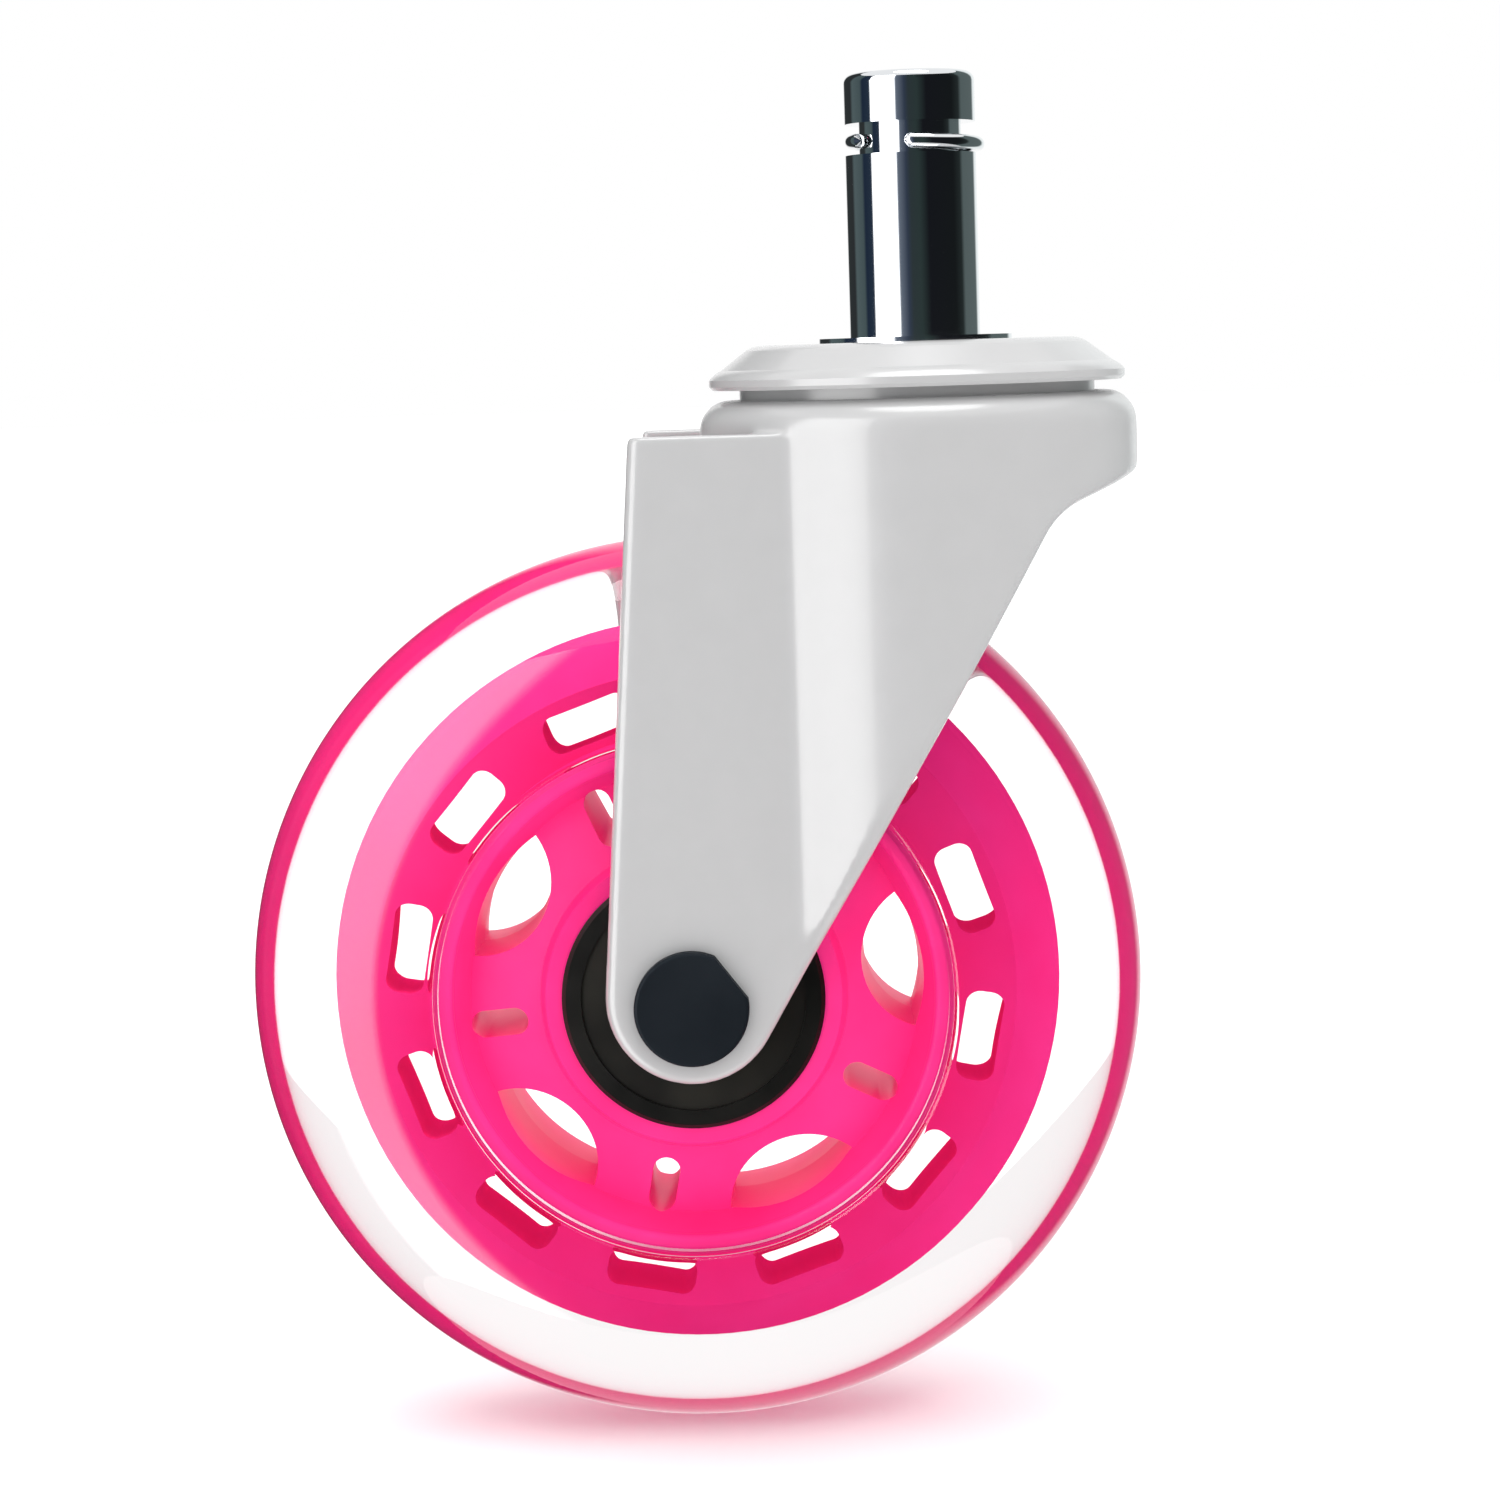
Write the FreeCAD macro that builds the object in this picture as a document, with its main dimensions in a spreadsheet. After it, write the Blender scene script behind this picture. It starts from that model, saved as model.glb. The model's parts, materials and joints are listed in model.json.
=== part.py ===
import FreeCAD, Part
import math
import os

import Sketcher

# Swivel chair caster: a 76 mm wheel with a clear tyre on a moulded hub, carried on two 608 ball
# bearings in a pressed fork, which turns on two ball races about an 11 mm grip-ring stem.
# Origin: on the stem's axis, on the top face of its flange. +Z runs up the stem, +X is the
# direction of travel (the wheel trails towards -X) and the wheel's axle lies along Y.

# Driving dimensions, in millimetres and degrees.
DIMENSIONS = {
    # stem
    "stem_radius": 5.5,
    "stem_height": 22.0,
    "stem_chamfer": 0.8,
    "groove_radius": 4.3,
    "groove_bottom": 15.2,
    "groove_top": 17.8,
    "ring_centre_radius": 4.98,
    "ring_wire_radius": 0.65,
    "ring_gap_angle": 48.0,
    "ring_gap_direction": 259.0,
    "flange_radius": 8.15,
    "flange_thickness": 0.4,
    "shank_radius": 4.5,
    "rivet_radius": 6.2,
    "rivet_height": 1.0,
    # cover disc above the fork, with the neck that dips into the fork's head
    "disc_radius": 17.55,
    "disc_flat_radius": 13.0,
    "disc_bevel_radius": 16.9,
    "disc_bevel_drop": 2.0,
    "disc_edge_round": 0.8,
    "disc_brow_run": 1.4,
    "disc_brow_drop": 0.4,
    "disc_lower_chamfer": 0.3,
    "disc_edge_radius": 2.6,
    "disc_height": 3.65,
    "disc_web": 2.2,
    "neck_radius": 15.0,
    "neck_inner_radius": 13.6,
    "neck_bottom": -5.6,
    # swivel ball races
    "upper_ball_radius": 1.5,
    "upper_ball_circle": 10.5,
    "upper_ball_height": -5.6,
    "upper_ball_count": 16,
    "lower_ball_radius": 1.25,
    "lower_ball_circle": 8.4,
    "lower_ball_height": -12.6,
    "lower_ball_count": 16,
    "race_clearance": 0.06,
    "race_gap": 0.6,
    "race_outer_radius": 13.2,
    "lower_cup_bore": 6.6,
    "lower_race_radius": 10.4,
    "lower_race_height": 1.7,
    "cage_half_height": 0.25,
    "cage_inner_radius": 8.2,
    "cage_outer_radius": 12.8,
    # fork
    "head_radius": 18.5,
    "head_top": -4.9,
    "head_shoulder": 2.6,
    "head_recess_radius": 15.3,
    "head_floor": -8.0,
    "head_web": 2.4,
    "head_bore_radius": 7.0,
    "wall": 2.4,
    "leg_inner": 12.8,
    "leg_depth": 56.0,
    "leg_blend": 4.0,
    "leg_end_radius": 7.15,
    "leg_end_lift": 0.6,
    "leg_edge_round": 0.9,
    "rear_top": -23.4,
    "rear_limit": -32.0,
    "lip_front": 20.0,
    "lip_front_height": -11.15,
    "lip_rear": 12.9,
    "lip_rear_height": -13.75,
    "throat_radius": 6.0,
    # wheel position and axle
    "trail": 20.2,
    "axle_drop": 54.3,
    "bolt_radius": 3.0,
    "bolt_hole_radius": 3.05,
    "bolt_head_radius": 4.75,
    "bolt_head_flat": 4.2,
    "bolt_head_angle": 37.0,
    "bolt_head_height": 1.2,
    "bolt_head_round": 0.3,
    "bolt_tail": 1.3,
    "nut_height": 2.4,
    "nut_round": 0.4,
    "nut_socket_radius": 2.0,
    "nut_socket_depth": 0.9,
    "spacer_radius": 5.6,
    "bearing_spacer_radius": 5.3,
    # 608 ball bearing: 8 x 22 x 7
    "bearing_bore": 4.0,
    "bearing_radius": 11.0,
    "bearing_width": 7.0,
    "bearing_face": 11.0,
    "bearing_chamfer": 0.35,
    "inner_ring_radius": 6.1,
    "outer_ring_bore": 9.4,
    "wheel_ball_radius": 1.98,
    "wheel_ball_circle": 7.75,
    "wheel_ball_count": 7,
    "seal_inner_radius": 6.25,
    "seal_recess": 0.3,
    "seal_thickness": 0.4,
    "crown_inner_radius": 7.15,
    "crown_outer_radius": 8.35,
    "crown_back": 2.75,
    "crown_front": 0.8,
    # hub
    "hub_bore": 9.0,
    "hub_lip_radius": 12.4,
    "hub_lip_half": 10.2,
    "dish_inner_radius": 12.9,
    "dish_inner_half": 8.8,
    "dish_outer_radius": 18.9,
    "dish_outer_half": 7.0,
    "ridge_inner_radius": 20.1,
    "ridge_outer_radius": 21.7,
    "ridge_half_width": 10.6,
    "ridge_round": 0.6,
    "rim_root_radius": 22.2,
    "rim_face_radius": 26.7,
    "rim_face_half": 5.4,
    "rim_shoulder": 40.0,
    "rim_radius": 29.15,
    "rim_crown_half": 1.2,
    "window_count": 5,
    "window_phase": 7.3,
    "window_tip_radius": 17.95,
    "window_half_length": 5.9,
    "window_outer_arc": 12.6,
    "window_inner_arc": 6.5,
    "window_draft": -2.0,
    "slit_inner": 15.3,
    "slit_outer": 17.9,
    "slit_half_width": 1.15,
    "slot_count": 12,
    "slot_phase": 19.6,
    "slot_circle": 24.25,
    "slot_half_width": 1.45,
    "slot_half_length": 3.8,
    "slot_corner": 1.1,
    # tyre
    "tyre_radius": 38.1,
    "tyre_crown_arc": 9.9,
    "tyre_side_arc": 14.4,
    "tyre_widest_radius": 24.4,
    "tyre_edge_round": 0.5,
    # how far a cut runs past the solid that it cuts
    "cut_overrun": 1.0,
}


# Lengths under this count as nothing.
TINY = 1e-3
# the number of flats of the nut's socket
HEXAGON = 6


class Dim:
    """A size that carries its value and its spreadsheet expression through arithmetic."""

    def __init__(self, value, text):
        self.value = float(value)
        self.text = text

    def __add__(self, other):
        other = as_dim(other)
        return Dim(self.value + other.value, f"({self.text} + {other.text})")

    def __sub__(self, other):
        other = as_dim(other)
        return Dim(self.value - other.value, f"({self.text} - {other.text})")

    def __mul__(self, factor):
        return Dim(self.value * factor, f"({self.text} * {factor})")

    def __neg__(self):
        return self * -1


def as_dim(size):
    """Wrap a plain number, and leave a Dim as it is."""
    return size if isinstance(size, Dim) else Dim(size, repr(size))


def make_sheet(doc):
    """Write the driving dimensions to the sheet and return one Dim for each alias."""
    sheet = doc.addObject("Spreadsheet::Sheet", "Sheet")
    dims = {}
    for row, (alias, value) in enumerate(DIMENSIONS.items(), start=1):
        sheet.set(f"A{row}", alias)
        sheet.set(f"B{row}", str(value))
        sheet.setAlias(f"B{row}", alias)
        dims[alias] = Dim(value, f"Sheet.{alias}")
    doc.recompute()
    return dims


DOC = FreeCAD.newDocument("chair_caster")
D = make_sheet(DOC)
PARTS = []


# ---------------------------------------------------------------- sketches and bodies

def origin_plane(body, role):
    """Return the body's own origin plane with this role."""
    return next(f for f in body.Origin.OriginFeatures if f.Role == role)


def bind(sketch, constraint, size):
    """Add a constraint that has a value and tie it to the sheet."""
    index = sketch.addConstraint(constraint)
    name = f"size_{index}"
    sketch.renameConstraint(index, name)
    sketch.setExpression(f"Constraints.{name}", size.text)


def pin_coordinate(sketch, kind, geometry, point, size):
    """Fix one coordinate of a point: a Dim is bound to the sheet, 0 lies on the axis, a float is free."""
    if isinstance(size, Dim):
        bind(sketch, Sketcher.Constraint(kind, -1, 1, geometry, point, size.value), size)
    elif size == 0 and isinstance(size, int):
        axis = -2 if kind == "DistanceX" else -1
        sketch.addConstraint(Sketcher.Constraint("PointOnObject", geometry, point, axis))


def value_of(size):
    return size.value if isinstance(size, Dim) else float(size)


def arc_between(start, end, radius):
    """The minor arc from start to end, its centre on the left for a positive radius."""
    chord = end - start
    reach = math.sqrt(max(radius * radius - chord.Length ** 2 / 4, 0))
    normal = FreeCAD.Vector(-chord.y, chord.x, 0).normalize()
    centre = (start + end) * 0.5 + normal * (reach if radius > 0 else -reach)
    circle = Part.Circle(centre, FreeCAD.Vector(0, 0, 1), abs(radius))
    first, last = (start, end) if radius > 0 else (end, start)
    return Part.ArcOfCircle(circle, circle.parameter(first), circle.parameter(last))


def draw_edges(sketch, corners):
    """Add the edges of a closed outline, each with the point numbers of its start and end."""
    points = [FreeCAD.Vector(value_of(c[0]), value_of(c[1]), 0) for c in corners]
    edges = []
    for number, corner in enumerate(corners):
        start, end = points[number], points[(number + 1) % len(points)]
        if len(corner) == 3:
            curve, forward = arc_between(start, end, corner[2].value), corner[2].value > 0
        else:
            curve, forward = Part.LineSegment(start, end), True
        edges.append((sketch.addGeometry(curve), 1 if forward else 2, 2 if forward else 1))
    return edges


def draw_outline(sketch, corners, centres=None, tangents=()):
    """Add a closed outline to a sketch.

    Each corner is (x, y) where a straight edge starts and (x, y, radius) where an arc starts.
    centres maps an arc's number to the (x, y) of its centre, which then stands for its radius's
    second unknown, and tangents lists the edges that meet the next edge smoothly.
    """
    centres = centres or {}
    edges = draw_edges(sketch, corners)
    for number, (edge, first, last) in enumerate(edges):
        following, next_first, _ = edges[(number + 1) % len(edges)]
        kind = "Tangent" if number in tangents else "Coincident"
        sketch.addConstraint(Sketcher.Constraint(kind, edge, last, following, next_first))
        pin_coordinate(sketch, "DistanceX", edge, first, corners[number][0])
        pin_coordinate(sketch, "DistanceY", edge, first, corners[number][1])
        if number in centres:
            pin_coordinate(sketch, "DistanceX", edge, 3, centres[number][0])
            pin_coordinate(sketch, "DistanceY", edge, 3, centres[number][1])
        if len(corners[number]) == 3:
            radius = corners[number][2]
            size = radius if radius.value > 0 else -radius
            bind(sketch, Sketcher.Constraint("Radius", edge, size.value), size)


def new_sketch(body, name, role, lift=None):
    """Add a sketch on one of the body's origin planes, lifted along the plane's normal."""
    sketch = body.newObject("Sketcher::SketchObject", name)
    sketch.AttachmentSupport = [(origin_plane(body, role), "")]
    sketch.MapMode = "FlatFace"
    if lift is not None:
        sketch.setExpression("AttachmentOffset.Base.z", lift.text)
    return sketch


def new_body(label):
    body = DOC.addObject("PartDesign::Body", label)
    body.Label = label
    PARTS.append(body)
    return body


def revolve(body, name, corners, centres=None, tangents=()):
    """Turn an outline of (radius, height) corners about the body's Z axis."""
    sketch = new_sketch(body, f"{name}_profile", "XZ_Plane")
    draw_outline(sketch, corners, centres, tangents)
    revolution = body.newObject("PartDesign::Revolution", name)
    revolution.Profile = sketch
    revolution.ReferenceAxis = (sketch, ["V_Axis"])
    revolution.Angle = 360
    DOC.recompute()


def turn(label, corners, centres=None):
    """A sub-part turned about its own Z axis."""
    body = new_body(label)
    revolve(body, f"{label}_turned", corners, centres)
    return body


def pocket(body, sketch, name, depth, reverse=False, symmetric=False):
    """Cut a sketch out of the body to a depth, and stop if nothing was removed."""
    DOC.recompute()
    before = body.Shape.Volume
    cut = body.newObject("PartDesign::Pocket", name)
    cut.Profile = sketch
    cut.Reversed = reverse
    cut.Midplane = symmetric
    cut.setExpression("Length", depth.text)
    DOC.recompute()
    if body.Shape.Volume >= before - TINY:
        raise RuntimeError(f"{name} removes nothing")
    return cut


def polar_pattern(body, name, features, axis_sketch, count):
    """Repeat features about the normal axis of a sketch through the body's origin."""
    pattern = body.newObject("PartDesign::PolarPattern", name)
    pattern.Originals = features
    pattern.Axis = (axis_sketch, ["N_Axis"])
    pattern.Angle = 360
    pattern.setExpression("Occurrences", count.text)
    body.Tip = pattern
    DOC.recompute()
    return pattern


def on_axle(part, turned_by=0.0):
    """Stand a part that was turned about Z on the wheel's axle, its +Z towards +Y."""
    spin = FreeCAD.Rotation(FreeCAD.Vector(0, 0, 1), turned_by)
    tip = FreeCAD.Rotation(FreeCAD.Vector(1, 0, 0), -90)
    part.Placement = FreeCAD.Placement(FreeCAD.Vector(0, 0, 0), tip * spin)
    part.setExpression("Placement.Base.x", (-D["trail"]).text)
    part.setExpression("Placement.Base.z", (-D["axle_drop"]).text)


def on_axle_mirrored(part):
    """As on_axle, but with the part's +Z towards -Y."""
    tip = FreeCAD.Rotation(FreeCAD.Vector(1, 0, 0), 90)
    part.Placement = FreeCAD.Placement(FreeCAD.Vector(0, 0, 0), tip)
    part.setExpression("Placement.Base.x", (-D["trail"]).text)
    part.setExpression("Placement.Base.z", (-D["axle_drop"]).text)


# The bearings on the two sides of the wheel: left is +Y, right is -Y.
SIDES = (("left", on_axle), ("right", on_axle_mirrored))


# ---------------------------------------------------------------- stem and cover disc

def make_stem():
    chamfer_r = D["stem_radius"] - D["stem_chamfer"]
    chamfer_z = D["stem_height"] - D["stem_chamfer"]
    rivet_top = D["lower_ball_height"] - D["race_gap"] - D["lower_race_height"]
    turn("stem", [
        (0, D["stem_height"]),
        (chamfer_r, D["stem_height"], -D["stem_chamfer"]),
        (D["stem_radius"], chamfer_z),
        (D["stem_radius"], D["groove_top"]),
        (D["groove_radius"], D["groove_top"]),
        (D["groove_radius"], D["groove_bottom"]),
        (D["stem_radius"], D["groove_bottom"]),
        (D["stem_radius"], 0),
        (D["flange_radius"], 0),
        (D["flange_radius"], -D["flange_thickness"]),
        (D["shank_radius"], -D["flange_thickness"]),
        (D["shank_radius"], rivet_top),
        (D["rivet_radius"], rivet_top, -D["rivet_height"]),
        (D["rivet_radius"] - D["rivet_height"], rivet_top - D["rivet_height"]),
        (0, rivet_top - D["rivet_height"]),
    ])


def make_grip_ring():
    ring = DOC.addObject("Part::Torus", "grip_ring")
    ring.Label = "grip_ring"
    ring.setExpression("Radius1", D["ring_centre_radius"].text)
    ring.setExpression("Radius2", D["ring_wire_radius"].text)
    ring.setExpression("Angle3", (as_dim(360) - D["ring_gap_angle"]).text)
    # The gap in the ring is at the rear, a little towards the right-hand side.
    gap_at = D["ring_gap_direction"].value
    ring.Placement = FreeCAD.Placement(
        FreeCAD.Vector(0, 0, 0), FreeCAD.Rotation(FreeCAD.Vector(0, 0, 1), gap_at))
    middle = (D["groove_bottom"] + D["groove_top"]) * 0.5
    ring.setExpression("Placement.Base.z", middle.text)
    PARTS.append(ring)


def make_top_disc():
    top = -D["flange_thickness"]
    bottom = top - D["disc_height"]
    rim_top = top - D["disc_bevel_drop"] - D["disc_edge_round"]
    turn("top_disc", [
        (D["shank_radius"], top),
        (D["disc_flat_radius"], top, -D["disc_edge_radius"]),
        (D["disc_flat_radius"] + D["disc_brow_run"], top - D["disc_brow_drop"]),
        (D["disc_bevel_radius"] - D["disc_brow_drop"], top - D["disc_bevel_drop"],
         -D["disc_edge_radius"]),
        (D["disc_radius"], rim_top),
        (D["disc_radius"], bottom + D["disc_lower_chamfer"]),
        (D["disc_radius"] - D["disc_lower_chamfer"], bottom),
        (D["neck_radius"], bottom),
        (D["neck_radius"], D["neck_bottom"]),
        (D["neck_inner_radius"], D["neck_bottom"]),
        (D["neck_inner_radius"], top - D["disc_web"]),
        (D["shank_radius"], top - D["disc_web"]),
    ])


# ---------------------------------------------------------------- swivel ball races

def groove_edge(ball_radius):
    """Half the width of a ball groove where it meets the face of its race."""
    groove = ball_radius.value + D["race_clearance"].value
    return math.sqrt(groove ** 2 - D["race_gap"].value ** 2)


def make_race(label, inner, outer, back, ball_radius, circle, height, above):
    """A flat ring with a ball groove in the face that looks at the balls.

    above is True for a race over the balls. back is the height of the face away from them.
    """
    side = 1 if above else -1
    groove = ball_radius + D["race_clearance"]
    face = height + D["race_gap"] * side
    edge = groove_edge(ball_radius)
    corners = [
        (inner, back),
        (inner, face),
        (circle.value - edge, face, groove * -side),
        (circle.value + edge, face),
        (outer, face),
        (outer, back),
    ]
    turn(label, corners, centres={2: (circle, height)})


def make_balls(label, radius, circle, height, count):
    """A ring of separate balls, as one sub-part."""
    balls = []
    for number in range(int(count.value)):
        angle = math.radians(360 * number / count.value)
        centre = FreeCAD.Vector(circle.value * math.cos(angle), circle.value * math.sin(angle),
                                height.value)
        balls.append(Part.makeSphere(radius.value, centre))
    part = DOC.addObject("Part::Feature", label)
    part.Label = label
    part.Shape = Part.makeCompound(balls)
    PARTS.append(part)
    return part


def make_cage(label, inner, outer, low, high, balls):
    """A ring with a pocket for each ball."""
    ring = Part.makeCylinder(outer.value, (high - low).value, FreeCAD.Vector(0, 0, low.value))
    ring = ring.cut(Part.makeCylinder(inner.value, (high - low).value,
                                      FreeCAD.Vector(0, 0, low.value)))
    pockets = []
    for ball in balls.Shape.Solids:
        radius = ball.Faces[0].Surface.Radius + D["race_clearance"].value
        pockets.append(Part.makeSphere(radius, ball.CenterOfMass))
    part = DOC.addObject("Part::Feature", label)
    part.Label = label
    part.Shape = ring.cut(Part.makeCompound(pockets)).Solids[0]
    PARTS.append(part)
    return part


def make_swivel_races():
    upper = (D["upper_ball_radius"], D["upper_ball_circle"], D["upper_ball_height"])
    lower = (D["lower_ball_radius"], D["lower_ball_circle"], D["lower_ball_height"])
    lower_back = D["lower_ball_height"] - D["race_gap"] - D["lower_race_height"]
    web_bottom = D["head_floor"] - D["head_web"]
    make_race("upper_race", D["shank_radius"], D["race_outer_radius"],
              -D["flange_thickness"] - D["disc_web"], *upper, above=True)
    make_race("upper_cup", D["head_bore_radius"], D["race_outer_radius"],
              D["head_floor"], *upper, above=False)
    make_race("lower_cup", D["lower_cup_bore"], D["lower_race_radius"],
              web_bottom, *lower, above=True)
    make_race("lower_race", D["shank_radius"], D["lower_race_radius"],
              lower_back, *lower, above=False)
    balls = make_balls("upper_balls", *upper, D["upper_ball_count"])
    make_cage("upper_cage", D["cage_inner_radius"], D["cage_outer_radius"],
              D["upper_ball_height"] - D["cage_half_height"],
              D["upper_ball_height"] + D["cage_half_height"], balls)
    make_balls("lower_balls", *lower, D["lower_ball_count"])


# ---------------------------------------------------------------- fork

def direction(angle):
    return FreeCAD.Vector(math.cos(angle), math.sin(angle), 0)


def tangent_normal(offset, reach):
    """Angles of the unit normals whose product with offset is reach."""
    spread = math.acos(reach / offset.Length)
    base = math.atan2(offset.y, offset.x)
    return base + spread, base - spread


def side_outline():
    """Corners, arc centres and smooth joins of the fork's side view, in (x, z)."""
    lip_start = FreeCAD.Vector(D["lip_front"].value, D["lip_front_height"].value, 0)
    lip_end = FreeCAD.Vector(D["lip_rear"].value, D["lip_rear_height"].value, 0)
    along = (lip_end - lip_start).normalize()
    throat = lip_end + FreeCAD.Vector(-along.y, along.x, 0) * D["throat_radius"].value
    end_x = -D["trail"]
    end_z = -D["axle_drop"] + D["leg_end_lift"]
    end = FreeCAD.Vector(end_x.value, end_z.value, 0)
    rear = FreeCAD.Vector(D["rear_top"].value, 0, 0)
    radius = D["leg_end_radius"].value
    front_normal = direction(tangent_normal(throat - end, D["throat_radius"].value + radius)[1])
    rear_normal = direction(tangent_normal(end - rear, -radius)[1])
    throat_end = throat - front_normal * D["throat_radius"].value
    leg_front = end + front_normal * radius
    leg_rear = end + rear_normal * radius
    corners = [
        (D["rear_top"], 0),
        (D["lip_front"], 0),
        (D["lip_front"], D["lip_front_height"]),
        (D["lip_rear"], D["lip_rear_height"], D["throat_radius"]),
        (throat_end.x, throat_end.y),
        (leg_front.x, leg_front.y, -D["leg_end_radius"]),
        (leg_rear.x, leg_rear.y),
    ]
    return corners, {5: (end_x, end_z)}, (2, 3, 4, 5)


def plan_outline(radius, half_width, blend):
    """Corners of the U-shaped plan: a round front on two straight sides."""
    turn_y = half_width + blend
    turn_x = -math.sqrt((radius + blend).value ** 2 - turn_y.value ** 2)
    share = radius.value / (radius + blend).value
    meet_x, meet_y = turn_x * share, turn_y.value * share
    return [
        (D["rear_limit"], -half_width),
        (turn_x, -turn_y.value + blend.value, -blend),
        (meet_x, -meet_y, radius),
        (radius.value, 0, radius),
        (meet_x, meet_y, -blend),
        (turn_x, turn_y.value - blend.value),
        (D["rear_limit"], half_width),
    ]


def draw_plan(sketch, radius, half_width, blend):
    """Draw the U-shaped plan, its sides level and its round front about the stem's axis."""
    edges = draw_edges(sketch, plan_outline(radius, half_width, blend))
    smooth = (0, 1, 3, 4)
    for number, (edge, _, last) in enumerate(edges):
        following, next_first, _ = edges[(number + 1) % len(edges)]
        kind = "Tangent" if number in smooth else "Coincident"
        sketch.addConstraint(Sketcher.Constraint(kind, edge, last, following, next_first))
    for number in (2, 3):
        sketch.addConstraint(Sketcher.Constraint("Coincident", edges[number][0], 3, -1, 1))
    sketch.addConstraint(Sketcher.Constraint("PointOnObject", edges[3][0], edges[3][1], -1))
    sketch.addConstraint(Sketcher.Constraint("Horizontal", edges[0][0]))
    sketch.addConstraint(Sketcher.Constraint("Horizontal", edges[5][0]))
    pin_coordinate(sketch, "DistanceX", edges[0][0], 1, D["rear_limit"])
    pin_coordinate(sketch, "DistanceX", edges[6][0], 1, D["rear_limit"])
    pin_coordinate(sketch, "DistanceY", edges[0][0], 1, -half_width)
    pin_coordinate(sketch, "DistanceY", edges[6][0], 1, half_width)
    bind(sketch, Sketcher.Constraint("Radius", edges[2][0], radius.value), radius)
    bind(sketch, Sketcher.Constraint("Radius", edges[1][0], blend.value), blend)
    bind(sketch, Sketcher.Constraint("Radius", edges[4][0], blend.value), blend)


def make_fork():
    body = new_body("fork")
    # The legs start where the round of the head's shoulder ends.
    leg_top = D["head_top"] - D["head_shoulder"]
    outer = new_sketch(body, "fork_outer_plan", "XY_Plane", leg_top)
    draw_plan(outer, D["head_radius"], D["leg_inner"] + D["wall"], D["leg_blend"])
    legs = body.newObject("PartDesign::Pad", "fork_legs")
    legs.Profile = outer
    legs.Reversed = True
    legs.setExpression("Length", D["leg_depth"].text)
    DOC.recompute()

    inner = new_sketch(body, "fork_inner_plan", "XY_Plane", leg_top)
    draw_plan(inner, D["head_radius"] - D["wall"], D["leg_inner"], D["leg_blend"] + D["wall"])
    pocket(body, inner, "fork_inside", D["leg_depth"] + D["wall"])

    web_bottom = D["head_floor"] - D["head_web"]
    revolve(body, "fork_head", [
        (D["head_bore_radius"], D["head_floor"]),
        (D["head_recess_radius"], D["head_floor"]),
        (D["head_recess_radius"], D["head_top"]),
        (D["head_radius"] - D["head_shoulder"], D["head_top"], -D["head_shoulder"]),
        (D["head_radius"], D["head_top"] - D["head_shoulder"]),
        (D["head_radius"], web_bottom),
        (D["head_bore_radius"], web_bottom),
    ])

    side = new_sketch(body, "fork_side_trim", "XZ_Plane")
    corners, centres, tangents = side_outline()
    draw_outline(side, corners, centres=centres, tangents=tangents)
    far = D["leg_depth"] * 2
    draw_outline(side, [(-far, -far), (far, -far), (far, far), (-far, far)])
    pocket(body, side, "fork_trim", far, symmetric=True)

    hole = new_sketch(body, "fork_axle_hole", "XZ_Plane")
    circle = Part.Circle(FreeCAD.Vector(-D["trail"].value, -D["axle_drop"].value, 0),
                         FreeCAD.Vector(0, 0, 1), D["bolt_hole_radius"].value)
    index = hole.addGeometry(circle)
    pin_coordinate(hole, "DistanceX", index, 3, -D["trail"])
    pin_coordinate(hole, "DistanceY", index, 3, -D["axle_drop"])
    bind(hole, Sketcher.Constraint("Radius", index, D["bolt_hole_radius"].value),
         D["bolt_hole_radius"])
    pocket(body, hole, "fork_axle_bore", far, symmetric=True)
    round_edges(body, "fork_rounds", D["leg_edge_round"])


def is_outer_rim(edge):
    """True for an edge where the side view's outline meets the outside of the fork."""
    box = edge.BoundBox
    upright = box.XLength < TINY and box.YLength < TINY
    level = box.ZLength < TINY
    curve = edge.Curve
    hole = curve.TypeId == "Part::GeomCircle" and curve.Radius < D["bolt_head_radius"].value
    if upright or level or hole:
        return False
    outside = (D["leg_inner"] + D["wall"]).value
    first, last = edge.ParameterRange
    for share in (0, 0.25, 0.5, 0.75, 1):
        point = edge.valueAt(first + (last - first) * share)
        off_head = abs(math.hypot(point.x, point.y) - D["head_radius"].value) > TINY
        if abs(point.y) < outside - TINY and off_head:
            return False
    return True


def round_edges(body, name, radius):
    """Round the outer rim of the body's tip."""
    tip = body.Tip
    names = [f"Edge{number}" for number, edge in enumerate(tip.Shape.Edges, start=1)
             if is_outer_rim(edge)]
    fillet = body.newObject("PartDesign::Fillet", name)
    fillet.Base = (tip, names)
    fillet.setExpression("Radius", radius.text)
    DOC.recompute()


# ---------------------------------------------------------------- axle and bearings

def make_axle_bolt():
    """The bolt through the fork, its head on the -Y side with one flat on its rim."""
    outside = D["leg_inner"] + D["wall"]
    tail = outside + D["bolt_tail"]
    rounding = D["bolt_head_round"]
    body = turn("axle_bolt", [
        (0, -outside - D["bolt_head_height"]),
        (D["bolt_head_radius"] - rounding, -outside - D["bolt_head_height"], rounding),
        (D["bolt_head_radius"], -outside - D["bolt_head_height"] + rounding),
        (D["bolt_head_radius"], -outside),
        (D["bolt_radius"], -outside),
        (D["bolt_radius"], tail),
        (0, tail),
    ])
    flat = new_sketch(body, "bolt_flat", "XY_Plane")
    reach = D["bolt_head_radius"] * 2
    draw_outline(flat, [(D["bolt_head_flat"], -reach), (reach, -reach),
                        (reach, reach), (D["bolt_head_flat"], reach)])
    pocket(body, flat, "bolt_flat_cut", outside + D["bolt_head_height"] + D["cut_overrun"])
    on_axle(body, -D["bolt_head_angle"].value)


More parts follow.
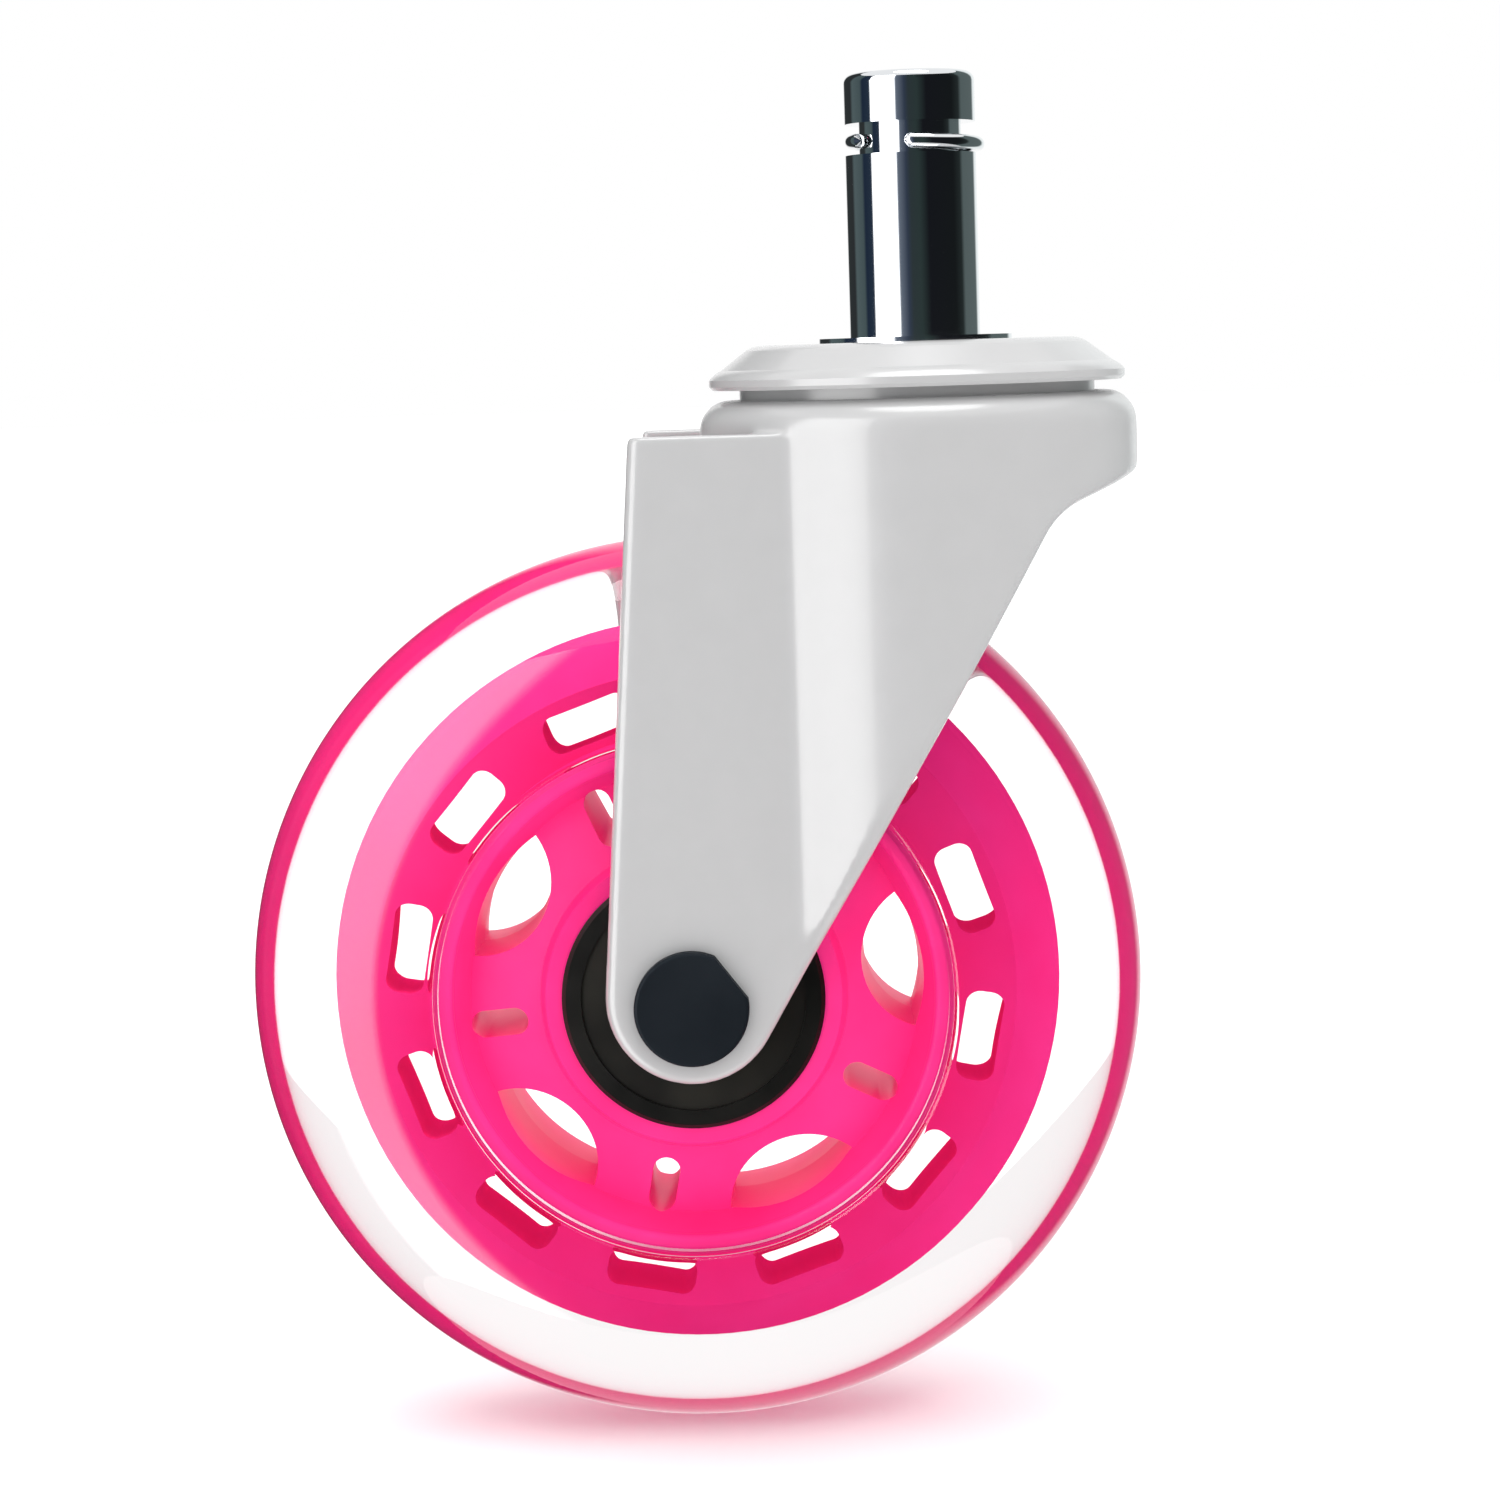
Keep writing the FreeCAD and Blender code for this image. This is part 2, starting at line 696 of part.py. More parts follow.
def make_axle_nut():
    """A round nut on the +Y side, blind at its outer face, which has a hexagon socket."""
    outside = D["leg_inner"] + D["wall"]
    face = outside + D["nut_height"]
    body = turn("axle_nut", [
        (D["bolt_radius"], outside),
        (D["bolt_head_radius"], outside),
        (D["bolt_head_radius"], face - D["nut_round"], D["nut_round"]),
        (D["bolt_head_radius"] - D["nut_round"], face),
        (0, face),
        (0, outside + D["bolt_tail"]),
        (D["bolt_radius"], outside + D["bolt_tail"]),
    ])
    socket = new_sketch(body, "nut_socket_plan", "XY_Plane", face)
    across = D["nut_socket_radius"]
    corners = []
    for number in range(HEXAGON):
        angle = math.radians(360 * number / HEXAGON)
        corners.append((across * math.cos(angle), across * math.sin(angle)))
    draw_outline(socket, corners)
    pocket(body, socket, "nut_socket", D["nut_socket_depth"])
    on_axle(body)


def make_tube(label, bore, radius, low, high):
    """A plain tube on the wheel's axle, from low to high along +Y."""
    body = turn(label, [(bore, low), (radius, low), (radius, high), (bore, high)])
    on_axle(body)


def make_axle_tubes():
    bore = D["bearing_bore"]
    make_tube("axle_sleeve", D["bolt_hole_radius"], bore, -D["leg_inner"], D["leg_inner"])
    make_tube("left_spacer", bore, D["spacer_radius"], D["bearing_face"], D["leg_inner"])
    make_tube("right_spacer", bore, D["spacer_radius"], -D["leg_inner"], -D["bearing_face"])
    inside = D["bearing_face"] - D["bearing_width"]
    make_tube("bearing_spacer", bore, D["bearing_spacer_radius"], -inside, inside)


def make_ring(label, bore, radius, groove_at, place):
    """One ring of a ball bearing, with its ball groove in the wall at groove_at."""
    outside = D["bearing_face"]
    inside = outside - D["bearing_width"]
    middle = (outside + inside) * 0.5
    groove = D["wheel_ball_radius"] + D["race_clearance"]
    depth = groove_at.value - D["wheel_ball_circle"].value
    edge = math.sqrt(groove.value ** 2 - depth ** 2)
    inner = groove_at is radius
    plain_wall = bore if inner else radius
    corner = D["bearing_chamfer"] if inner else -D["bearing_chamfer"]
    place(turn(label, [
        (groove_at, inside),
        (groove_at, middle.value - edge, -groove if inner else groove),
        (groove_at, middle.value + edge),
        (groove_at, outside),
        (plain_wall + corner, outside),
        (plain_wall, outside - D["bearing_chamfer"]),
        (plain_wall, inside + D["bearing_chamfer"]),
        (plain_wall + corner, inside),
    ], centres={1: (D["wheel_ball_circle"], middle)}))


def make_bearing(side, place):
    """One 608 bearing: two rings, two seals, the balls and their crown cage."""
    outside = D["bearing_face"]
    inside = outside - D["bearing_width"]
    middle = (outside + inside) * 0.5
    make_ring(f"{side}_inner_ring", D["bearing_bore"], D["inner_ring_radius"],
              D["inner_ring_radius"], place)
    make_ring(f"{side}_outer_ring", D["outer_ring_bore"], D["bearing_radius"],
              D["outer_ring_bore"], place)
    seals = (("outer", outside - D["seal_recess"] - D["seal_thickness"]),
             ("inner", inside + D["seal_recess"]))
    for name, low in seals:
        place(turn(f"{side}_{name}_seal", [
            (D["seal_inner_radius"], low),
            (D["outer_ring_bore"], low),
            (D["outer_ring_bore"], low + D["seal_thickness"]),
            (D["seal_inner_radius"], low + D["seal_thickness"]),
        ]))
    balls = make_balls(f"{side}_balls", D["wheel_ball_radius"], D["wheel_ball_circle"], middle,
                       D["wheel_ball_count"])
    cage = make_cage(f"{side}_cage", D["crown_inner_radius"], D["crown_outer_radius"],
                     middle - D["crown_back"], middle + D["crown_front"], balls)
    place(balls)
    place(cage)


# ---------------------------------------------------------------- wheel

def mirrored(upper):
    """The outline of the upper corners again below the middle plane, run backwards."""
    lower = []
    for number in range(len(upper) - 1, -1, -1):
        radius, height = upper[number][:2]
        arc = upper[number - 1][2:] if number > 0 else ()
        lower.append((radius, -height) + arc)
    return lower


def make_hub():
    """The moulded hub: bearing seats, a dished face, a ridge and a broad slotted rim."""
    face = D["hub_lip_half"]
    rounding = D["ridge_round"]
    upper = [
        (D["hub_bore"], D["bearing_face"] - D["bearing_width"]),
        (D["bearing_radius"], D["bearing_face"] - D["bearing_width"]),
        (D["bearing_radius"], face),
        (D["hub_lip_radius"], face),
        (D["dish_inner_radius"], D["dish_inner_half"]),
        (D["dish_outer_radius"], D["dish_outer_half"]),
        (D["ridge_inner_radius"], D["ridge_half_width"] - rounding, -rounding),
        (D["ridge_inner_radius"] + rounding, D["ridge_half_width"]),
        (D["ridge_outer_radius"] - rounding, D["ridge_half_width"], -rounding),
        (D["ridge_outer_radius"], D["ridge_half_width"] - rounding),
        (D["rim_root_radius"], D["rim_face_half"]),
        (D["rim_face_radius"], D["rim_face_half"], -D["rim_shoulder"]),
        (D["rim_radius"], D["rim_crown_half"]),
    ]
    body = turn("hub", upper + mirrored(upper))
    DOC.recompute()

    turn_to = FreeCAD.Rotation(FreeCAD.Vector(0, 0, 1), -D["window_phase"].value)
    half_turn = FreeCAD.Rotation(FreeCAD.Vector(0, 0, 1),
                                 180 / D["window_count"].value - D["window_phase"].value)
    cuts = []
    for name, lift, reverse in (("front", face, False), ("back", -face, True)):
        window = new_sketch(body, f"window_{name}_plan", "XY_Plane", lift)
        window.AttachmentOffset = FreeCAD.Placement(window.AttachmentOffset.Base, turn_to)
        window.setExpression("AttachmentOffset.Base.z", lift.text)
        tip, half = D["window_tip_radius"], D["window_half_length"]
        draw_outline(window, [(tip, -half, D["window_outer_arc"]),
                              (tip, half, D["window_inner_arc"])])
        cut = pocket(body, window, f"window_{name}", face, reverse=reverse)
        cut.setExpression("TaperAngle", D["window_draft"].text)
        cuts.append(cut)
        slit = new_sketch(body, f"slit_{name}_plan", "XY_Plane", lift)
        slit.AttachmentOffset = FreeCAD.Placement(slit.AttachmentOffset.Base, half_turn)
        slit.setExpression("AttachmentOffset.Base.z", lift.text)
        half = D["slit_half_width"]
        draw_slit(slit, D["slit_inner"], D["slit_outer"], half)
        cut = pocket(body, slit, f"slit_{name}", face, reverse=reverse)
        cuts.append(cut)
    DOC.recompute()
    polar_pattern(body, "window_pattern", cuts, cuts[0].Profile[0], D["window_count"])

    slot = new_sketch(body, "slot_plan", "XY_Plane")
    slot.AttachmentOffset = FreeCAD.Placement(
        FreeCAD.Vector(0, 0, 0),
        FreeCAD.Rotation(FreeCAD.Vector(0, 0, 1), -D["slot_phase"].value))
    low = D["slot_circle"] - D["slot_half_width"]
    high = D["slot_circle"] + D["slot_half_width"]
    half, corner = D["slot_half_length"], D["slot_corner"]
    draw_rounded_box(slot, low, high, half, corner)
    cut = pocket(body, slot, "slot", (D["rim_face_half"] + D["cut_overrun"]) * 2, symmetric=True)
    polar_pattern(body, "slot_pattern", [cut], slot, D["slot_count"])
    on_axle(body)
    return body


def draw_rounded_box(sketch, low, high, half, corner):
    """A rectangle from low to high across and half each way along, with round corners."""
    draw_outline(sketch, [
        (low + corner, -half),
        (high - corner, -half, corner),
        (high, -half + corner),
        (high, half - corner, corner),
        (high - corner, half),
        (low + corner, half, corner),
        (low, half - corner),
        (low, -half + corner, corner),
    ])


def draw_slit(sketch, inner, outer, half):
    """A slit along X whose two ends are half circles about inner and outer."""
    nose = FreeCAD.Vector(outer.value + half.value, 0, 0)
    tail = FreeCAD.Vector(inner.value - half.value, 0, 0)
    corners = [
        (inner, -half),
        (outer, -half, half),
        (nose.x, 0, half),
        (outer, half),
        (inner, half, half),
        (tail.x, 0, half),
    ]
    draw_outline(sketch, corners)


def make_tyre(hub):
    """The cast tyre, flat-sided over the hub's slots and an oval of arcs round its rim."""
    crown, side, rounding = D["tyre_crown_arc"], D["tyre_side_arc"], D["tyre_edge_round"]
    root_r, widest = D["ridge_outer_radius"], D["tyre_widest_radius"]
    crown_centre = D["tyre_radius"] - crown
    # The crown's arc touches the side's arc on the line through their two centres.
    between = (side - crown).value
    out = (crown_centre - widest).value
    up = math.sqrt(between ** 2 - out ** 2)
    half = side.value - up
    touch_r = widest.value + side.value * out / between
    touch_y = side.value * up / between - up
    upper = [
        (root_r, half - rounding.value, -rounding),
        (root_r.value + rounding.value, half),
        (widest, half, -side),
        (touch_r, touch_y, -crown),
    ]
    centres = {2: (widest, half - side.value), 3: (crown_centre, 0),
               4: (widest, side.value - half)}
    body = DOC.addObject("PartDesign::Body", "tyre_blank")
    corners = upper + mirrored(upper)
    revolve(body, "tyre_turned", corners, centres, tangents=range(len(corners)))
    on_axle(body)
    tyre = DOC.addObject("Part::Cut", "tyre")
    tyre.Label = "tyre"
    tyre.Base = body
    tyre.Tool = hub
    PARTS.append(tyre)


def check_document():
    """Stop if any object failed or any sub-part is not sound."""
    for item in DOC.Objects:
        if "Invalid" in item.State or "Error" in item.State:
            raise RuntimeError(f"{item.Name} failed: {item.getStatusString()}")
    for part in PARTS:
        if part.Shape.isNull() or not part.Shape.isValid():
            raise RuntimeError(f"{part.Label} has no valid shape")


make_stem()
make_grip_ring()
make_top_disc()
make_swivel_races()
make_fork()
make_axle_bolt()
make_axle_nut()
make_axle_tubes()
for side_name, placer in SIDES:
    make_bearing(side_name, placer)
make_tyre(make_hub())
DOC.recompute()
check_document()
os.makedirs("parts", exist_ok=True)
for part in PARTS:
    part.Shape.exportStep(f"parts/{part.Label}.step")
    box = part.Shape.optimalBoundingBox()
    print(f"{part.Label}: {len(part.Shape.Solids)} solid(s), {part.Shape.Volume:.1f} mm3,",
          [round(v, 2) for v in (box.XMin, box.YMin, box.ZMin, box.XMax, box.YMax, box.ZMax)])
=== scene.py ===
import json
import math

import bmesh
import bpy
from mathutils import Matrix, Vector


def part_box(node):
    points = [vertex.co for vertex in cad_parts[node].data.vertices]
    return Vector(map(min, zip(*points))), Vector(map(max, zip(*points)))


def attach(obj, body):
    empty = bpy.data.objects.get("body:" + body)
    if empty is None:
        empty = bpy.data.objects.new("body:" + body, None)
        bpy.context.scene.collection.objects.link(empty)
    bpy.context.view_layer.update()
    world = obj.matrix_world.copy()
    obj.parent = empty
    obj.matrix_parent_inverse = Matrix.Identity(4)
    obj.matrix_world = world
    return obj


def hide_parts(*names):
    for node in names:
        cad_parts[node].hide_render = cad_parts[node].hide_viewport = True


# A swivel chair caster on a white floor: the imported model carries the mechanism, and the pieces
# made here are the clear tyre, the sprung grip ring and the fork with its edges rounded.
# Lengths are in metres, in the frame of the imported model.

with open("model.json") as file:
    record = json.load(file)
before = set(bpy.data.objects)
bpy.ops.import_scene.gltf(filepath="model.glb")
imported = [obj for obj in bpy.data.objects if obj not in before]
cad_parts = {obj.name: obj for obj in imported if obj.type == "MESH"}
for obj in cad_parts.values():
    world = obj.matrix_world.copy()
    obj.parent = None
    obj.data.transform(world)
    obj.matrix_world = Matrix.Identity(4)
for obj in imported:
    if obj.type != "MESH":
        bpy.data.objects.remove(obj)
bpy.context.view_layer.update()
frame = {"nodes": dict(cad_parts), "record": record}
MM = 0.001
SCENE = bpy.context.scene


# ---------------------------------------------------------------- places read from the frame

def middle(node):
    """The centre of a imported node's box."""
    low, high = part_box(node)
    return [(a + b) / 2 for a, b in zip(low, high)]


def span(node, axis):
    """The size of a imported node's box along one axis."""
    low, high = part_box(node)
    return high[axis] - low[axis]


AXLE = Vector(middle("tyre"))
WHEEL_R = span("tyre", 2) / 2
FLOOR_Z = AXLE.z - WHEEL_R
# Outside this radius the hub is inside the tyre.
EMBEDDED_R = 21.75 * MM


# ---------------------------------------------------------------- node helpers

# A noise texture keeps mostly between these two values.
NOISE_LOW, NOISE_HIGH = 0.3, 0.7
GRAIN_DEPTH = 0.05 * MM
GRAINS_PER_PATCH = 12
COAT_ROUGHNESS = 0.12


def new_material(name):
    """A material with its nodes, links and principled shader."""
    material = bpy.data.materials.new(name)
    material.use_nodes = True
    nodes = material.node_tree.nodes
    return material, nodes, material.node_tree.links, nodes["Principled BSDF"]


def add_noise(nodes, links, scale, detail=3.0):
    """A noise texture in the object's own coordinates."""
    where = nodes.new("ShaderNodeTexCoord")
    noise = nodes.new("ShaderNodeTexNoise")
    noise.inputs["Scale"].default_value = scale
    noise.inputs["Detail"].default_value = detail
    links.new(where.outputs["Object"], noise.inputs["Vector"])
    return noise.outputs["Fac"]


def add_bump(nodes, links, shader, height, strength, distance):
    """A relief on a shader's normal."""
    bump = nodes.new("ShaderNodeBump")
    bump.inputs["Strength"].default_value = strength
    bump.inputs["Distance"].default_value = distance
    links.new(height, bump.inputs["Height"])
    links.new(bump.outputs["Normal"], shader.inputs["Normal"])


def add_range(nodes, links, value, low, high):
    """Map a noise value to a number between low and high."""
    ranged = nodes.new("ShaderNodeMapRange")
    ranged.inputs["From Min"].default_value = NOISE_LOW
    ranged.inputs["From Max"].default_value = NOISE_HIGH
    ranged.inputs["To Min"].default_value = low
    ranged.inputs["To Max"].default_value = high
    links.new(value, ranged.inputs["Value"])
    return ranged.outputs["Result"]


def add_tint(nodes, links, value, dark, light):
    """Blend two colours by a noise value."""
    ramp = nodes.new("ShaderNodeValToRGB")
    ramp.color_ramp.elements[0].position = NOISE_LOW
    ramp.color_ramp.elements[1].position = NOISE_HIGH
    ramp.color_ramp.elements[0].color = (*dark, 1)
    ramp.color_ramp.elements[1].color = (*light, 1)
    links.new(value, ramp.inputs["Fac"])
    return ramp.outputs["Color"]


def surface(name, dark, light, rough, metallic=0.0, coat=0.0, bump=0.0, scale=900.0,
            specular=0.5, glow=(0, 0, 0)):
    """An uneven surface: two close tints, a roughness that wanders and a fine relief.

    A glow stands in for the light that comes through thin coloured plastic.
    """
    material, nodes, links, shader = new_material(name)
    shader.inputs["Metallic"].default_value = metallic
    shader.inputs["Specular IOR Level"].default_value = specular
    shader.inputs["Emission Color"].default_value = (*glow, 1)
    shader.inputs["Emission Strength"].default_value = 1.0
    shader.inputs["Coat Weight"].default_value = coat
    shader.inputs["Coat Roughness"].default_value = COAT_ROUGHNESS
    patches = add_noise(nodes, links, scale / GRAINS_PER_PATCH)
    links.new(add_tint(nodes, links, patches, dark, light), shader.inputs["Base Color"])
    links.new(add_range(nodes, links, patches, *rough), shader.inputs["Roughness"])
    if bump:
        grain = add_noise(nodes, links, scale, detail=4.0)
        add_bump(nodes, links, shader, grain, bump, GRAIN_DEPTH)
    return material


# ---------------------------------------------------------------- materials

CLEAR = (0.985, 0.985, 0.985, 1)
CLEAR_SHADOW = (0.95, 0.95, 0.95, 1)
CLEAR_IOR = 1.49
CLEAR_ROUGHNESS = (0.01, 0.035)
RIPPLE_DEPTH = 0.3 * MM


def clear_polyurethane():
    """Clear cast tyre: full transmission, and shadow rays that pass so that light gets in."""
    material, nodes, links, shader = new_material("clear_polyurethane")
    shader.inputs["Base Color"].default_value = CLEAR
    shader.inputs["IOR"].default_value = CLEAR_IOR
    shader.inputs["Transmission Weight"].default_value = 1.0
    haze = add_noise(nodes, links, scale=60.0)
    links.new(add_range(nodes, links, haze, *CLEAR_ROUGHNESS), shader.inputs["Roughness"])
    ripple = add_noise(nodes, links, scale=120.0, detail=2.0)
    add_bump(nodes, links, shader, ripple, strength=0.04, distance=RIPPLE_DEPTH)
    path = nodes.new("ShaderNodeLightPath")
    clear = nodes.new("ShaderNodeBsdfTransparent")
    clear.inputs["Color"].default_value = CLEAR_SHADOW
    mix = nodes.new("ShaderNodeMixShader")
    output = nodes["Material Output"]
    links.new(path.outputs["Is Shadow Ray"], mix.inputs["Fac"])
    links.new(shader.outputs["BSDF"], mix.inputs[1])
    links.new(clear.outputs["BSDF"], mix.inputs[2])
    links.new(mix.outputs["Shader"], output.inputs["Surface"])
    return material


PINK_DARK = (0.96, 0.022, 0.19)
PINK_LIGHT = (1.0, 0.038, 0.25)
# Painted light: a faint pink glow on the plastic stands in for light coming through it, and it
# also lifts the plastic's shaded parts.
PINK_GLOW = (0.09, 0.004, 0.050)


def make_materials():
    """One material for each material slot of the record."""
    return {
        "chrome": surface("chrome_plate", (0.78, 0.8, 0.82), (0.86, 0.87, 0.88), (0.03, 0.08),
                          metallic=1.0, bump=0.02, scale=700),
        "white_paint": surface("fork_paint", (0.485, 0.485, 0.488), (0.495, 0.495, 0.498),
                               (0.25, 0.27), coat=0.4, bump=0.02, scale=4000),
        "steel": surface("bearing_steel", (0.5, 0.5, 0.52), (0.62, 0.62, 0.64), (0.2, 0.32),
                         metallic=1.0, bump=0.05, scale=1600),
        "dark_steel": surface("bolt_coating", (0.006, 0.009, 0.013), (0.010, 0.014, 0.019),
                              (0.42, 0.55), bump=0.12, scale=1200, specular=0.08),
        "black_steel": surface("black_oxide", (0.004, 0.004, 0.003), (0.009, 0.008, 0.006),
                               (0.28, 0.4), bump=0.05, scale=1600, specular=0.3),
        "seal_rubber": surface("seal_rubber", (0.009, 0.008, 0.006), (0.018, 0.016, 0.010),
                               (0.4, 0.55), bump=0.15, scale=1500, specular=0.25),
        "dark_plastic": surface("cage_plastic", (0.02, 0.02, 0.02), (0.035, 0.035, 0.035),
                                (0.45, 0.6), bump=0.1),
        "pink_plastic": surface("pink_plastic", PINK_DARK, PINK_LIGHT, (0.30, 0.40), bump=0.06,
                                scale=1100, specular=0.08, glow=PINK_GLOW),
        "clear_tyre": clear_polyurethane(),
    }


def wet_the_rim(hub, material):
    """Give the hub's faces inside the tyre a second material: no air is there, so no gloss."""
    hub.materials.append(material)
    for face in hub.polygons:
        corners = [hub.vertices[corner].co for corner in face.vertices]
        centre = sum(corners, Vector()) / len(corners)
        if math.hypot(centre.x - AXLE.x, centre.z - AXLE.z) > EMBEDDED_R:
            face.material_index = 1


# ---------------------------------------------------------------- mesh helpers

SHARP_ANGLE = math.radians(35)


def finish_mesh(name, builder, material):
    """Turn a bmesh into an object with smooth faces and sharp edges above an angle."""
    bmesh.ops.recalc_face_normals(builder, faces=builder.faces)
    mesh = bpy.data.meshes.new(name)
    builder.to_mesh(mesh)
    builder.free()
    mesh.shade_smooth()
    mesh.set_sharp_from_angle(angle=SHARP_ANGLE)
    mesh.materials.append(material)
    piece = bpy.data.objects.new(name, mesh)
    SCENE.collection.objects.link(piece)
    return piece


def arc_points(centre, radius, start, end, steps):
    """Points on an arc in a plane, angles in degrees."""
    points = []
    for step in range(steps + 1):
        angle = math.radians(start + (end - start) * step / steps)
        points.append((centre[0] + radius * math.cos(angle), centre[1] + radius * math.sin(angle)))
    return points


def lathe(name, outline, centre, material, steps):
    """Turn a closed outline of (radius, offset) about an axis along Y through centre."""
    builder = bmesh.new()
    rings = []
    for step in range(steps):
        angle = 2 * math.pi * step / steps
        rings.append([builder.verts.new((centre.x + r * math.cos(angle), centre.y + y,
                                         centre.z + r * math.sin(angle))) for r, y in outline])
    count = len(outline)
    for step in range(steps):
        here, there = rings[step], rings[(step + 1) % steps]
        for corner in range(count):
            following = (corner + 1) % count
            builder.faces.new((here[corner], here[following], there[following], there[corner]))
    return finish_mesh(name, builder, material)


# ---------------------------------------------------------------- pieces

def make_tyre(material):
    """The clear tyre as one solid of revolution, flat-sided by the ridge and oval beyond.

    Its inner wall is inside the hub's ridge, and the hub's rim sits in its volume.
    """
    side_arc, crown_arc = 14.4 * MM, 9.9 * MM
    inner_wall, root_r, widest_r, edge_round = 21.3 * MM, 21.7 * MM, 24.4 * MM, 0.5 * MM
    out = WHEEL_R - crown_arc - widest_r
    up = math.sqrt((side_arc - crown_arc) ** 2 - out ** 2)
    half = side_arc - up
    meet = math.degrees(math.atan2(up, out))
    edge_steps, side_steps, crown_steps, turn_steps = 6, 24, 40, 360
    edge_centre = (root_r + edge_round, edge_round - half)
    right = arc_points(edge_centre, edge_round, 180, 270, edge_steps)
    right += arc_points((widest_r, side_arc - half), side_arc, 270, 360 - meet, side_steps)
    crown = arc_points((WHEEL_R - crown_arc, 0), crown_arc, -meet, meet, crown_steps)[1:-1]
    left = [(r, -y) for r, y in reversed(right)]
    foot = half - edge_round
    outline = [(inner_wall, -foot)] + right + crown + left + [(inner_wall, foot)]
    tyre = lathe("tyre_clear", outline, AXLE, material, turn_steps)
    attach(tyre, "wheel")
    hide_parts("tyre")


def make_grip_ring(material):
    """The split ring, sprung a little out of its groove and hanging lower on one side."""
    low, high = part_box("grip_ring")
    wire, ring_r, shift = 0.6 * MM, 5.27 * MM, 0.37 * MM
    lean, gap_at, gap = math.radians(2.5), math.radians(235), math.radians(48)
    drop, steps, sides, smallest_end = 0.35 * MM, 96, 20, 0.02
    height = (low[2] + high[2]) / 2 - drop
    builder = bmesh.new()
    start = gap_at + gap / 2
    rings = []
    for step in range(steps + 1):
        # The wire's ends are domed: the section shrinks over the last few steps.
        angle = start + (2 * math.pi - gap) * step / steps
        from_end = min(step, steps - step) * (2 * math.pi - gap) / steps * ring_r
        swell = math.sqrt(max(1 - max(1 - from_end / wire, 0) ** 2, smallest_end))
        rings.append([])
        for side in range(sides):
            turn = 2 * math.pi * side / sides
            reach = ring_r + wire * swell * math.cos(turn)
            x, y = reach * math.cos(angle), reach * math.sin(angle)
            z = wire * swell * math.sin(turn) - x * math.sin(lean)
            rings[-1].append(builder.verts.new((x + shift, y, height + z)))
    for here, there in zip(rings, rings[1:]):
        for side in range(sides):
            following = (side + 1) % sides
            builder.faces.new((here[side], here[following], there[following], there[side]))
    builder.faces.new(rings[0])
    builder.faces.new(rings[-1])
    ring = finish_mesh("grip_ring_sprung", builder, material)
    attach(ring, "stem")
    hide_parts("grip_ring")


def soften(node, name, body, slot_name, voxel, rounds, pull=0.5):
    """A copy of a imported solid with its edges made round: remeshed finely, then relaxed."""
    piece = bpy.data.objects.new(name, frame["nodes"][node].data.copy())
    SCENE.collection.objects.link(piece)
    remesh = piece.modifiers.new("remesh", "REMESH")
    remesh.mode = "VOXEL"
    remesh.voxel_size = voxel
    relax = piece.modifiers.new("relax", "SMOOTH")
    relax.factor = pull
    relax.iterations = rounds
    shape = piece.evaluated_get(bpy.context.evaluated_depsgraph_get())
    mesh = bpy.data.meshes.new_from_object(shape)
    piece.modifiers.clear()
    piece.data = mesh
    mesh.name = name
    mesh.shade_smooth()
    mesh.materials.clear()
    mesh.materials.append(MATERIALS[slot_name])
    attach(piece, body)
    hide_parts(node)


# ---------------------------------------------------------------- stage

FLOOR_REACH = 6.0
FLOOR_WHITE = (0.93, 0.93, 0.93, 1)
FLOOR_ROUGHNESS = 0.9
FLOOR_GLOW = 0.05
WORLD_STRENGTH = 1.0
SUN_STRENGTH, SUN_WIDTH = 1.6, math.radians(35)
SUN_TRAVELS = Vector((-0.05, 0.08, -0.99))


def make_floor():
    """A matt white floor that glows a little, and that reflections don't see."""
    mesh = bpy.data.meshes.new("floor")
    corners = [(x * FLOOR_REACH, y * FLOOR_REACH, FLOOR_Z)
               for x, y in ((-1, -1), (1, -1), (1, 1), (-1, 1))]
    mesh.from_pydata(corners, [], [(0, 1, 2, 3)])
    material, _, _, shader = new_material("sweep_white")
    shader.inputs["Base Color"].default_value = FLOOR_WHITE
    shader.inputs["Roughness"].default_value = FLOOR_ROUGHNESS
    shader.inputs["Specular IOR Level"].default_value = 0.0
    shader.inputs["Emission Color"].default_value = (1, 1, 1, 1)
    shader.inputs["Emission Strength"].default_value = FLOOR_GLOW
    mesh.materials.append(material)
    floor = bpy.data.objects.new("floor", mesh)
    SCENE.collection.objects.link(floor)
    floor.visible_glossy = False


# What the studio shows in a reflection at each angle about the object, from -Y, positive
# towards +X: a bright soft box on the left, a white wall behind, a dark room elsewhere and
# two dim screens.
SOFT_BOX = 5.0
ROOM = [
    (-180, (1.000, 1.000, 1.000)),
    (-168, (1.000, 1.000, 1.000)),
    (-160, (0.030, 0.036, 0.037)),
    (-128, (0.028, 0.032, 0.034)),
    (-120, (0.090, 0.125, 0.130)),
    (-98, (0.070, 0.100, 0.105)),
    (-92, (0.014, 0.025, 0.048)),
    (-75, (0.022, 0.036, 0.060)),
    (-69, (SOFT_BOX, SOFT_BOX, SOFT_BOX)),
    (-31, (SOFT_BOX, SOFT_BOX, SOFT_BOX)),
    (-25, (0.150, 0.180, 0.230)),
    (-10, (0.036, 0.050, 0.080)),
    (-3, (0.030, 0.042, 0.046)),
    (12, (0.028, 0.044, 0.043)),
    (28, (0.009, 0.010, 0.013)),
    (78, (0.009, 0.011, 0.012)),
    (94, (0.020, 0.027, 0.027)),
    (102, (0.100, 0.130, 0.130)),
    (140, (0.110, 0.140, 0.140)),
    (150, (0.900, 0.950, 0.950)),
    (180, (1.000, 1.000, 1.000)),
]


